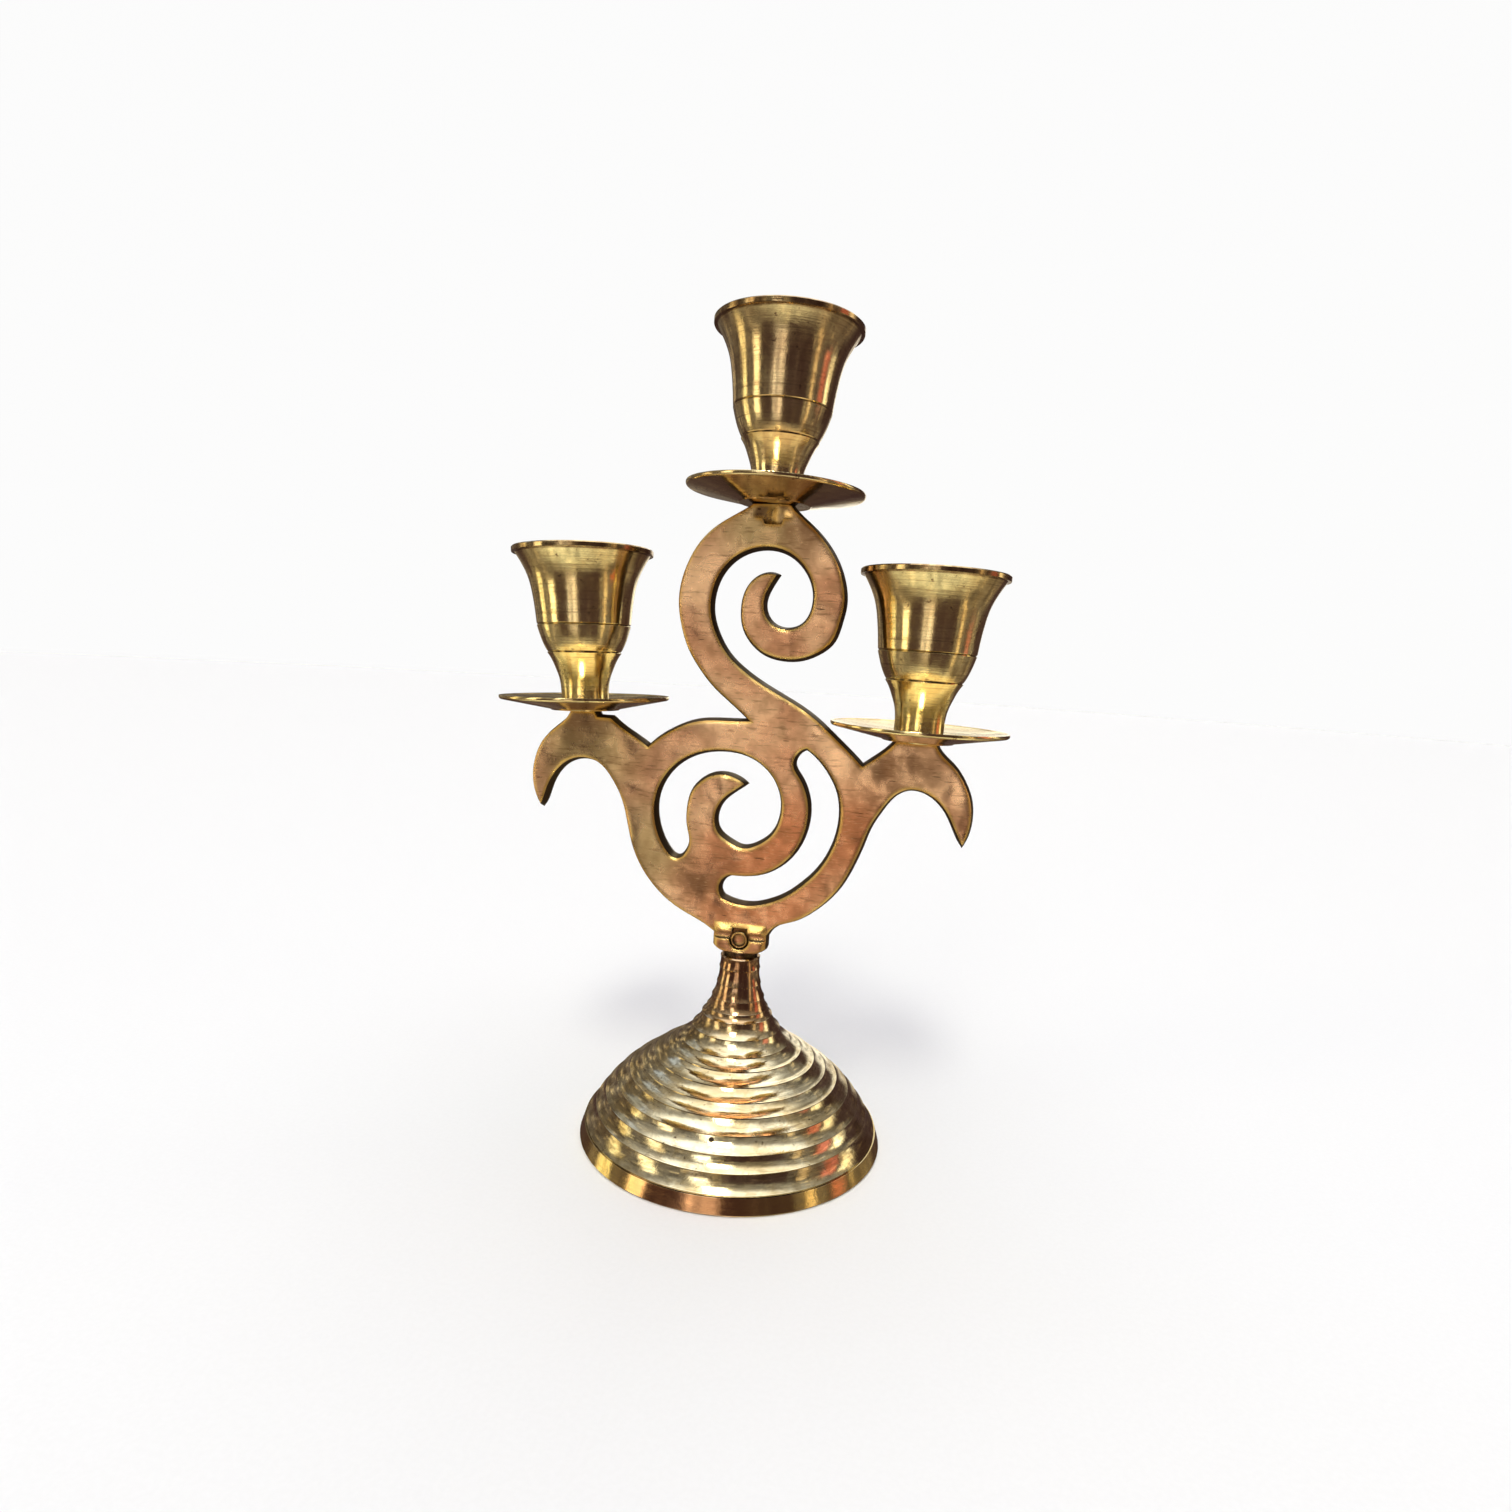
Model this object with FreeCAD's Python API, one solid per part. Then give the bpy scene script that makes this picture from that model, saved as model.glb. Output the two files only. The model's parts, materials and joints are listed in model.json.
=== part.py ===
import FreeCAD, Part
import math
import os

# Three-light scroll candelabrum in brass. Millimetres, +Z up, the front faces -Y.
# The origin is the centre of the foot's rim on the table; the scroll frame stands in the XZ plane.

V = FreeCAD.Vector

# ---- driving dimensions ----
FOOT_R = 44.0            # foot radius at the table
NECK_TOP_Z = 54.6        # the frame's knuckle stands here
PLATE_HALF = 3.3         # half the thickness of the cast scroll frame
BEVEL = 0.45             # filed bevel round both faces of the frame
DRAFT = 0.7              # casting draft from the bevel out to the parting line
CANDLE_R = 11.1          # socket for a 22 mm candle
PAN_R = 23.75            # drip pan radius
PAN_H = 4.0              # drip pan height, foot to rim
PAN_SEAT = 2.6           # height of the pan's floor, where the cup stands
CUP_R = 19.2             # cup lip radius
CUP_H = 41.0             # cup height, foot to lip
STUD_R = 2.0             # M4 studs under the cups
TIE_R = 2.4              # M5 stud that ties the frame to the foot
RUN = 0.05               # radial running clearance round the studs
STUD_IN_FRAME = 8.0      # depth of a cup stud in the frame
STUD_TOP = 11.0          # top of a cup stud above its seat
WEB_Z = 26.0             # underside of the foot's web, where the washer bears
WASHER_H = 1.0           # washer under the web
NUT_H = 4.0              # nut under the washer
TIE_TOP_Z = 64.4         # top of the tie stud, inside the frame
TIE_TAIL = 2.0           # tie stud below its nut

# Seats of the three lights on the frame: x, z of the seat centre and the lean toward +X in degrees.
SEATS = {
    "top": (1.7, 177.8, 1.4),
    "left": (-48.7, 121.0, -2.5),
    "right": (44.2, 119.05, 0.8),
}


def revolve(edges):
    """Solid of revolution about Z from profile edges in the XZ plane."""
    face = Part.Face(Part.Wire(Part.__sortEdges__(edges)))
    return face.revolve(V(0, 0, 0), V(0, 0, 1), 360)


def line(a, b):
    return Part.makeLine(V(a[0], 0, a[1]), V(b[0], 0, b[1]))


def polyline(points):
    return [line(a, b) for a, b in zip(points, points[1:])]


def arc(a, b, sag):
    """Arc from a to b whose middle bulges by sag to the right of the way from a to b."""
    dx = b[0] - a[0]
    dz = b[1] - a[1]
    size = math.hypot(dx, dz)
    middle = V((a[0] + b[0]) / 2 + dz / size * sag, 0, (a[1] + b[1]) / 2 - dx / size * sag)
    return Part.Arc(V(a[0], 0, a[1]), middle, V(b[0], 0, b[1])).toShape()


def curve(points):
    spline = Part.BSplineCurve()
    spline.interpolate([V(x, 0, z) for x, z in points])
    return spline.toShape()


def ring(outer, inner, height, base_z):
    tube = Part.makeCylinder(outer, height, V(0, 0, base_z))
    return tube.cut(Part.makeCylinder(inner, height, V(0, 0, base_z)))


def stud(radius, low, high, tip):
    """Round stud with a short cone at each end."""
    points = [(0, low), (radius - tip, low), (radius, low + tip)]
    points += [(radius, high - tip), (radius - tip, high), (0, high)]
    return revolve(polyline(points + [(0, low)]))


def place(shape, light):
    """Carry a shape built at the origin to the seat of a light, leaning with it."""
    x, z, lean = SEATS[light]
    moved = shape.copy()
    moved.rotate(V(0, 0, 0), V(0, 1, 0), lean)
    moved.translate(V(x, 0, z))
    return moved


# ---- foot: a bell of turned coves, each ending in a sharp lip, over a flared band ----
NECK_LIPS = [(5.9, 51.1), (6.4, 46.5), (7.6, 42.5), (8.9, 39.3), (10.2, 37.3)]
BELL_LIPS = [(12.7, 33.4), (15.9, 29.8), (19.3, 27.3), (23.3, 24.8), (26.8, 22.1)]
BELL_LIPS += [(30.3, 19.6), (33.8, 16.5), (37.0, 12.9), (39.6, 9.3), (42.3, 4.9)]
NECK_R = 5.7             # radius at the top of the neck
NECK_STEP = 0.3          # height of the step under a lip
BELL_STEP = 0.4
NECK_SAG = 0.24          # depth of the cove between two lips
BELL_SAG = 0.36
UNDERCUT = 0.14          # each step runs in by this much
BAND_TOP = (42.75, 4.5)  # radius and height where the flared band begins


def make_base():
    bore = TIE_R + 0.1
    start = (NECK_R, NECK_TOP_Z - 0.3)
    edges = polyline([(bore, NECK_TOP_Z), (NECK_R - 0.3, NECK_TOP_Z), start])
    for lips, step, sag in ((NECK_LIPS, NECK_STEP, NECK_SAG), (BELL_LIPS, BELL_STEP, BELL_SAG)):
        for r, z in lips:
            edges.append(arc(start, (r, z), sag))
            start = (r - UNDERCUT, z - step)
            edges.append(line((r, z), start))
    hollow = [(41.2, 1.5), (38.5, 6.5), (33.5, 12.2), (27.0, 17.0), (18.5, 22.3), (10.5, WEB_Z)]
    edges += polyline([start, BAND_TOP, (FOOT_R, 0.5), (FOOT_R - 0.4, 0), (41.6, 0), hollow[0]])
    edges.append(curve(hollow))
    edges += polyline([hollow[-1], (bore, WEB_Z), (bore, NECK_TOP_Z)])
    return revolve(edges)


# ---- scroll frame ----
# Outlines at the parting plane, seen from the front, with the metal on the right of the way walked:
# the outside clockwise and the openings anticlockwise. Each stretch is one smooth curve through its
# points (a straight line for two points); a new stretch begins at every true corner.
OUTSIDE = [
    [(6.6, 178.3), (9.8, 175.2), (13.7, 172.0), (17.2, 168.3), (20.0, 164.1), (22.1, 158.8),
     (22.8, 153.6), (22.0, 148.6), (20.2, 143.4), (16.3, 140.0), (11.6, 138.1), (6.7, 137.8),
     (1.9, 138.9), (-2.1, 141.7), (-4.9, 145.9), (-5.7, 150.7), (-4.9, 155.6), (-2.0, 159.5),
     (1.6, 160.9), (4.8, 160.2)],
    [(4.8, 160.2), (2.9, 157.0), (1.5, 152.4), (3.1, 148.5), (7.0, 146.8), (11.2, 148.2),
     (13.4, 152.8), (13.1, 157.3), (10.6, 161.9), (6.6, 165.1), (1.8, 166.3), (-3.2, 165.6),
     (-7.6, 163.2), (-10.9, 159.2), (-12.6, 154.0), (-12.6, 149.4), (-10.8, 144.1), (-7.6, 139.2),
     (-3.0, 135.2), (3.2, 131.4), (10.3, 127.8), (16.7, 124.0), (22.4, 119.4), (27.5, 115.0),
     (30.4, 112.3)],
    [(30.4, 112.3), (34.0, 115.1), (36.6, 117.4), (38.4, 119.6)],
    [(38.4, 119.6), (49.6, 119.6)],
    [(49.6, 119.6), (51.4, 116.6), (54.6, 113.8), (57.7, 109.8), (59.9, 105.2), (60.7, 99.8),
     (60.2, 95.4), (58.6, 91.4)],
    [(58.6, 91.4), (56.1, 95.2), (53.9, 99.4), (51.0, 103.0), (47.2, 105.3), (43.2, 105.7),
     (39.6, 103.6), (36.9, 99.8), (34.4, 95.2), (32.7, 90.0), (30.5, 83.8), (27.8, 78.0),
     (24.2, 73.1), (19.7, 68.9), (14.6, 65.8), (10.4, 64.1), (8.3, 61.6)],
    [(8.3, 61.6), (7.0, 60.2)],
    [(7.0, 60.2), (-7.0, 60.2)],
    [(-7.0, 60.2), (-8.6, 61.2)],
    [(-8.6, 61.2), (-11.3, 62.9), (-16.6, 65.4), (-22.2, 68.7), (-26.8, 72.9), (-30.6, 78.0),
     (-33.3, 83.8), (-35.1, 90.6), (-36.9, 96.8), (-39.9, 102.2), (-43.7, 106.1), (-48.2, 107.2),
     (-52.5, 105.8), (-56.0, 102.2), (-58.1, 98.0), (-59.2, 94.6), (-60.4, 92.3)],
    [(-60.4, 92.3), (-62.6, 96.3), (-63.6, 101.7), (-62.8, 107.4), (-60.5, 112.4), (-57.0, 116.0),
     (-54.1, 118.5), (-52.5, 121.6)],
    [(-52.5, 121.6), (-44.6, 121.6)],
    [(-44.6, 121.6), (-43.8, 120.1)],
    [(-43.8, 120.1), (-40.0, 120.1)],
    [(-40.0, 120.1), (-36.2, 117.3), (-32.6, 115.2), (-29.2, 113.1)],
    [(-29.2, 113.1), (-25.7, 116.1), (-21.4, 118.7), (-16.9, 120.6), (-12.0, 121.5), (-7.5, 121.7),
     (-2.4, 121.9)],
    [(-2.4, 121.9), (-7.2, 125.8), (-12.1, 129.8), (-16.2, 134.4), (-19.6, 139.5), (-21.8, 145.3),
     (-22.9, 151.4), (-22.5, 157.0), (-20.9, 162.2), (-18.1, 167.4), (-13.7, 172.0), (-8.6, 175.2),
     (-3.6, 178.3)],
    [(-3.6, 178.3), (6.6, 178.3)],
]
SLIT = [
    [(15.0, 114.4), (13.0, 112.8), (12.4, 110.6), (14.1, 107.6), (16.1, 104.0), (17.3, 99.4),
     (17.2, 94.2), (15.8, 89.0), (13.2, 84.5), (9.6, 81.0), (5.2, 78.6), (0.6, 77.6), (-3.8, 77.4)],
    [(-3.8, 77.4), (-5.6, 76.1), (-6.3, 73.9), (-5.4, 71.8)],
    [(-5.4, 71.8), (-2.0, 70.7), (2.8, 70.6), (7.4, 71.9), (12.0, 74.3), (16.2, 77.8), (19.9, 81.9),
     (22.8, 87.0), (24.5, 92.6), (24.9, 98.0), (23.9, 103.4), (21.2, 108.4), (17.8, 112.3),
     (15.0, 114.4)],
]
EYE = [
    [(-0.4, 104.1), (-3.1, 102.0), (-6.6, 99.0), (-8.5, 94.6), (-7.7, 90.6), (-4.6, 88.2), (-0.6, 86.8),
     (3.2, 88.1), (6.8, 91.2), (8.6, 96.0), (8.4, 101.0), (6.2, 105.9), (2.4, 109.6), (-2.6, 111.8),
     (-8.2, 112.3), (-13.4, 111.5), (-18.9, 108.9), (-23.0, 104.8), (-25.5, 99.4), (-26.0, 93.8),
     (-24.7, 88.3), (-22.6, 84.4), (-21.0, 82.6)],
    [(-21.0, 82.6), (-19.3, 82.2), (-17.7, 83.6)],
    [(-17.7, 83.6), (-16.8, 86.8), (-17.7, 91.0), (-17.9, 96.0), (-16.8, 100.8), (-13.9, 104.5),
     (-9.6, 106.7), (-5.0, 106.6), (-0.4, 104.1)],
]


OFFSET_SPACING = 1.6     # spacing of the points that an offset outline is drawn through


def stretch_curve(points):
    if len(points) == 2:
        return Part.LineSegment(V(points[0][0], 0, points[0][1]), V(points[1][0], 0, points[1][1]))
    spline = Part.BSplineCurve()
    spline.interpolate([V(x, 0, z) for x, z in points])
    return spline


def unit_tangent(path, parameter):
    tangent = path.tangent(parameter)[0]
    tangent.normalize()
    return tangent


def inward(tangent):
    """Unit normal into the metal, on the right of the way walked as seen from the front."""
    return V(tangent.z, 0, -tangent.x)


def corner_shift(path_in, path_out):
    """Mitre vector at a corner for an inward offset of one."""
    a = inward(unit_tangent(path_in, path_in.LastParameter))
    b = inward(unit_tangent(path_out, path_out.FirstParameter))
    return (a + b) * (1 / (1 + a.dot(b)))


def offset_points(path, shift_in, shift_out, distance):
    """Points of the path moved into the metal, trimmed or extended to meet its neighbours."""
    length = path.length()
    first = path.FirstParameter
    last = path.LastParameter
    start = shift_in.dot(unit_tangent(path, first)) * distance
    end = length + shift_out.dot(unit_tangent(path, last)) * distance
    count = max(2, int(length / OFFSET_SPACING))
    points = [path.value(first) + shift_in * distance]
    for i in range(1, count):
        along = start + (end - start) * i / count
        inside = min(max(along, 0.0), length)
        parameter = path.parameterAtDistance(inside, first)
        tangent = unit_tangent(path, parameter)
        points.append(path.value(parameter) + tangent * (along - inside) + inward(tangent) * distance)
    points.append(path.value(last) + shift_out * distance)
    return points


def edges_at(loop, distance, y):
    """Edges of a loop offset into the metal by a distance, at depth y."""
    paths = [stretch_curve(points) for points in loop]
    edges = []
    for i, path in enumerate(paths):
        shift_in = corner_shift(paths[i - 1], path)
        shift_out = corner_shift(path, paths[(i + 1) % len(paths)])
        points = [V(p.x, y, p.z) for p in offset_points(path, shift_in, shift_out, distance)]
        if len(loop[i]) == 2:
            edges.append(Part.makeLine(points[0], points[-1]))
        else:
            spline = Part.BSplineCurve()
            spline.interpolate(points)
            edges.append(spline.toShape())
    return edges


def plate_body():
    """Both faces, the bevels and the drafted walls, sewn into one solid."""
    side = PLATE_HALF - BEVEL
    levels = [(DRAFT + BEVEL, -PLATE_HALF), (DRAFT, -side), (0.0, 0.0)]
    levels += [(DRAFT, side), (DRAFT + BEVEL, PLATE_HALF)]
    faces = []
    caps = {-PLATE_HALF: [], PLATE_HALF: []}
    for loop in (OUTSIDE, SLIT, EYE):
        rows = [edges_at(loop, distance, y) for distance, y in levels]
        for low, high in zip(rows, rows[1:]):
            faces += [Part.makeRuledSurface(a, b, 1) for a, b in zip(low, high)]
        caps[-PLATE_HALF].append(Part.Wire(rows[0]))
        caps[PLATE_HALF].append(Part.Wire(rows[-1]))
    for wires in caps.values():
        faces.append(Part.makeFace(wires, "Part::FaceMakerBullseye"))
    shell = Part.makeShell(faces)
    shell.sewShape()
    solid = Part.makeSolid(Part.Shell(shell.Faces))
    if solid.Volume < 0:
        solid.reverse()
    return solid


# ---- knuckle: the block that the frame stands on, with its lock pin ----
KNUCKLE_X = 7.7          # half width
KNUCKLE_Y = 4.5          # half depth
KNUCKLE_Z = (56.2, 64.6)
SPIGOT_R = 4.9           # short spigot between the knuckle and the neck
CHANNEL_Z = (60.1, 61.9)
CHANNEL_DEPTH = 1.1
PIN_Z = 59.9             # axis of the lock pin, which points at the tie stud
PIN_R = 2.3
POCKET_R = 2.85          # round pocket in the front, wider than the pin
POCKET_DEPTH = 1.3
SLOT_X = 2.2             # half width of the slot that runs up from the pocket
SLOT_TOP_Z = 63.4


def prism_along_x(corners):
    """Bar as wide as the knuckle and more, from the corners of its section in y and z."""
    reach = KNUCKLE_X + 3
    profile = Part.Face(Part.makePolygon([V(-reach, y, z) for y, z in corners + corners[:1]]))
    return profile.extrude(V(2 * reach, 0, 0))


def knuckle():
    """Block with rounded corners, a sloping top and a channel across each face, and a spigot below."""
    low, high = KNUCKLE_Z
    block = Part.makeBox(2 * KNUCKLE_X, 2 * KNUCKLE_Y, high - low, V(-KNUCKLE_X, -KNUCKLE_Y, low))
    upright = [e for e in block.Edges if abs(e.Vertexes[0].Z - e.Vertexes[-1].Z) > 1]
    block = block.makeFillet(2.4, upright)
    belly = [(5.2, low), (6.9, low + 0.5), (8.1, low + 1.6), (8.9, low + 3.4)]
    shank = polyline([belly[-1], (8.9, high), (0, high), (0, low), belly[0]])
    block = block.common(revolve([curve(belly)] + shank))
    bottom, top = CHANNEL_Z
    floor = KNUCKLE_Y - CHANNEL_DEPTH
    for side in (-1, 1):
        face = side * (KNUCKLE_Y + 0.1)
        slope = [(face, high - 2.2), (face, high + 0.1), (side * (PLATE_HALF - 0.1), high + 0.1)]
        block = block.cut(prism_along_x(slope))
        channel = [(face, bottom - 0.2), (face, top + 0.2)]
        channel += [(side * floor, top - 0.15), (side * floor, bottom + 0.15)]
        block = block.cut(prism_along_x(channel))
    return block.fuse(Part.makeCylinder(SPIGOT_R, low - NECK_TOP_Z + 0.6, V(0, 0, NECK_TOP_Z)))


def across(radius, far_radius, low_y, high_y, x, z):
    """Round bar or cone along +Y from low_y to high_y."""
    if radius == far_radius:
        return Part.makeCylinder(radius, high_y - low_y, V(x, low_y, z), V(0, 1, 0))
    return Part.makeCone(radius, far_radius, high_y - low_y, V(x, low_y, z), V(0, 1, 0))


def pocket():
    """Pocket of the lock pin: a bevelled round mouth, a slot above it and the pin's own hole."""
    front = -KNUCKLE_Y
    mouth = across(POCKET_R + 0.3, POCKET_R, front - 0.05, front + 0.3, 0, PIN_Z)
    shape = mouth.fuse(across(POCKET_R, POCKET_R, front - 0.1, front + POCKET_DEPTH, 0, PIN_Z))
    slot_size = (2 * SLOT_X, POCKET_DEPTH + 0.1, SLOT_TOP_Z - PIN_Z)
    shape = shape.fuse(Part.makeBox(*slot_size, V(-SLOT_X, front - 0.1, PIN_Z)))
    return shape.fuse(across(PIN_R + 0.02, PIN_R + 0.02, front, -1.0, 0, PIN_Z))


def make_pin():
    """Lock pin with a bevelled rim and a hollow end."""
    front = -KNUCKLE_Y + 0.25
    pin = across(PIN_R, PIN_R, front + 0.25, -TIE_R - RUN, 0, PIN_Z)
    pin = pin.fuse(across(PIN_R - 0.2, PIN_R, front, front + 0.25, 0, PIN_Z))
    return pin.cut(across(PIN_R - 0.35, PIN_R - 0.55, front - 0.1, front + 0.9, 0, PIN_Z))


# ---- hollow under the top light: a dark D-shaped pit below an arched, slanting facet ----
PIT = (2.1, 174.0)
PIT_R = 2.6
PIT_DEPTH = 1.1
PIT_DROP = 1.4           # the pit reaches this far below its centre
FACET_R = 5.3


def hollow_under_top():
    x, z = PIT
    front = -PLATE_HALF
    slope = (FACET_R - PIT_R) / PIT_DEPTH
    facet = across(FACET_R + 0.1 * slope, PIT_R, front - 0.1, front + PIT_DEPTH, x, z)
    pit = across(PIT_R, PIT_R, front - 0.1, front + PIT_DEPTH, x, z)
    corner = V(x - 2 * FACET_R, front - 0.5, z)
    above = Part.makeBox(4 * FACET_R, PIT_DEPTH + 1, 2 * FACET_R, corner)
    corner.z -= PIT_DROP
    above_floor = Part.makeBox(4 * FACET_R, PIT_DEPTH + 1, 2 * FACET_R, corner)
    return facet.common(above).fuse(pit.common(above_floor))


# ---- the whole frame ----
SEAT_CUT_R = 14.0        # the plate is cut flat this far round each seat
SEAT_CUT_H = 12.0


def make_plate():
    solid = plate_body().fuse(knuckle())
    for light in SEATS:
        solid = solid.cut(place(Part.makeCylinder(SEAT_CUT_R, SEAT_CUT_H), light))
        hole = Part.makeCylinder(STUD_R + RUN, STUD_IN_FRAME + 1.0, V(0, 0, -STUD_IN_FRAME - 0.5))
        solid = solid.cut(place(hole, light))
    tie_hole = Part.makeCylinder(TIE_R + RUN, TIE_TOP_Z - NECK_TOP_Z + 0.2, V(0, 0, NECK_TOP_Z - 0.1))
    for cut in (tie_hole, pocket(), hollow_under_top()):
        solid = solid.cut(cut)
    return solid


# ---- drip pan: flat foot, conical underside, thick rim, shallow dish with a raised floor ----
PAN_FOOT_R = 9.4
DISH_R = 22.5            # outer radius of the dish
FLOOR_R = 9.0            # inner radius of the dish, where the raised floor begins


def make_pan():
    hole = STUD_R + 0.15
    rim_under = (22.9, 2.85)
    rim_top = (PAN_R - 0.3, PAN_H)
    dish_edge = (DISH_R, PAN_H - 0.25)
    dish_foot = (FLOOR_R, PAN_SEAT - 0.3)
    edges = polyline([(hole, PAN_SEAT), (hole, 0), (PAN_FOOT_R, 0), (PAN_FOOT_R + 0.4, 0.3), rim_under])
    edges.append(arc(rim_under, rim_top, 0.35))
    edges.append(arc(rim_top, dish_edge, 0.1))
    edges.append(arc(dish_edge, dish_foot, -0.35))
    edges += polyline([dish_foot, (7.2, dish_foot[1]), (7.0, PAN_SEAT), (hole, PAN_SEAT)])
    return revolve(edges)


# ---- candle cup: waisted foot, socket with two turned grooves, flared bell with a thick lip ----
LOWER_GROOVE = 13.4
UPPER_GROOVE = 20.7
STUD_HOLE_TOP = 8.6      # the stud's hole in the cup
SOCKET_FLOOR = 17.6
SOCKET_Z = (18.6, 27.5)  # the straight part that holds the candle
CUP_FOOT_R = 6.6
LIP_H = 1.5


def groove(r, z):
    """V groove 0.25 deep on the outside of the cup."""
    return [(r, z - 0.3), (r - 0.25, z), (r + 0.05, z + 0.3)]


def make_cup():
    low_cut = groove(10.2, LOWER_GROOVE)
    high_cut = groove(12.85, UPPER_GROOVE)
    lip = CUP_H - LIP_H
    hole = STUD_R + RUN
    foot = (CUP_FOOT_R, 0.2)
    edges = polyline([(0, STUD_HOLE_TOP), (hole, STUD_HOLE_TOP), (hole, 0), (CUP_FOOT_R - 0.2, 0), foot])
    edges.append(curve([foot, (CUP_FOOT_R, 3.0), (7.1, 6.4), (8.0, 8.9), (9.0, 11.2), low_cut[0]]))
    edges += polyline(low_cut)
    edges.append(curve([low_cut[-1], (11.15, 15.4), (12.1, 17.9), high_cut[0]]))
    edges += polyline(high_cut)
    bell = [(13.25, 24.4), (14.0, 29.4), (14.7, 32.4), (16.4, 36.4), (18.3, lip)]
    edges.append(curve([high_cut[-1]] + bell))
    mouth = (CUP_R - 1.1, CUP_H)
    edges += polyline([bell[-1], (CUP_R - 0.1, lip), (CUP_R, lip + 0.2), (CUP_R, CUP_H - 0.3)])
    edges += polyline([(CUP_R, CUP_H - 0.3), (CUP_R - 0.3, CUP_H), mouth])
    low, high = SOCKET_Z
    edges.append(curve([mouth, (16.0, 38.0), (13.6, 34.0), (12.1, 30.5), (CANDLE_R, high)]))
    edges += polyline([(CANDLE_R, high), (CANDLE_R, low), (CANDLE_R - 0.8, SOCKET_FLOOR)])
    edges += polyline([(CANDLE_R - 0.8, SOCKET_FLOOR), (0, SOCKET_FLOOR), (0, STUD_HOLE_TOP)])
    return revolve(edges)


def make_cup_stud():
    return stud(STUD_R, -STUD_IN_FRAME, STUD_TOP, 0.3)


def make_tie_stud():
    return stud(TIE_R, WEB_Z - WASHER_H - NUT_H - TIE_TAIL, TIE_TOP_Z, 0.4)


def make_washer():
    return ring(5.0, TIE_R + 0.15, WASHER_H, WEB_Z - WASHER_H)


def make_nut():
    """Hexagon nut, 8 mm across flats, with its corners turned off."""
    flat = 4.0
    corner = flat / math.cos(math.radians(30))
    angles = [math.radians(60 * k) for k in range(7)]
    points = [V(corner * math.cos(a), corner * math.sin(a), 0) for a in angles]
    prism = Part.Face(Part.makePolygon(points)).extrude(V(0, 0, NUT_H))
    crown = [(0, 0), (flat - 0.1, 0), (corner + 0.1, 0.5), (corner + 0.1, NUT_H - 0.5)]
    crown += [(flat - 0.1, NUT_H), (0, NUT_H), (0, 0)]
    prism = prism.common(revolve(polyline(crown)))
    nut = prism.cut(Part.makeCylinder(TIE_R + 0.02, NUT_H + 2, V(0, 0, -1)))
    nut.translate(V(0, 0, WEB_Z - WASHER_H - NUT_H))
    return nut


parts = {
    "base": make_base(),
    "scroll_plate": make_plate(),
    "knuckle_pin": make_pin(),
    "frame_stud": make_tie_stud(),
    "stud_washer": make_washer(),
    "stud_nut": make_nut(),
}
for light in SEATS:
    cup = make_cup()
    cup.translate(V(0, 0, PAN_SEAT))
    parts[light + "_pan"] = place(make_pan(), light)
    parts[light + "_cup"] = place(cup, light)
    parts[light + "_stud"] = place(make_cup_stud(), light)

os.makedirs("parts", exist_ok=True)
for name, shape in parts.items():
    shape.Solids[0].exportStep(f"parts/{name}.step")
    print(name, len(shape.Solids), shape.isValid(), round(shape.Volume, 1))
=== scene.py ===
import json
import math

import bpy
from mathutils import Matrix, Vector

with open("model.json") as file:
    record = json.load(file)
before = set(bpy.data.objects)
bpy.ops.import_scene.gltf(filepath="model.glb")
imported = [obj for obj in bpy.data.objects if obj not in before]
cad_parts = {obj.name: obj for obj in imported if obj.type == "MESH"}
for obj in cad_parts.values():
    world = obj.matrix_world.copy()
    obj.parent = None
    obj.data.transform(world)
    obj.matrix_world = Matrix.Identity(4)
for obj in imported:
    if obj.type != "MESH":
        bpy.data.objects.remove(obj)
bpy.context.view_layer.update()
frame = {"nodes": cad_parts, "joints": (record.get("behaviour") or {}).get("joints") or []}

NODES = frame["nodes"]
MM = 0.001
LIGHTS = ("top", "left", "right")

# ---------------------------------------------------------------- node helpers

QUARTER_TURN = 0.25


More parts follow.
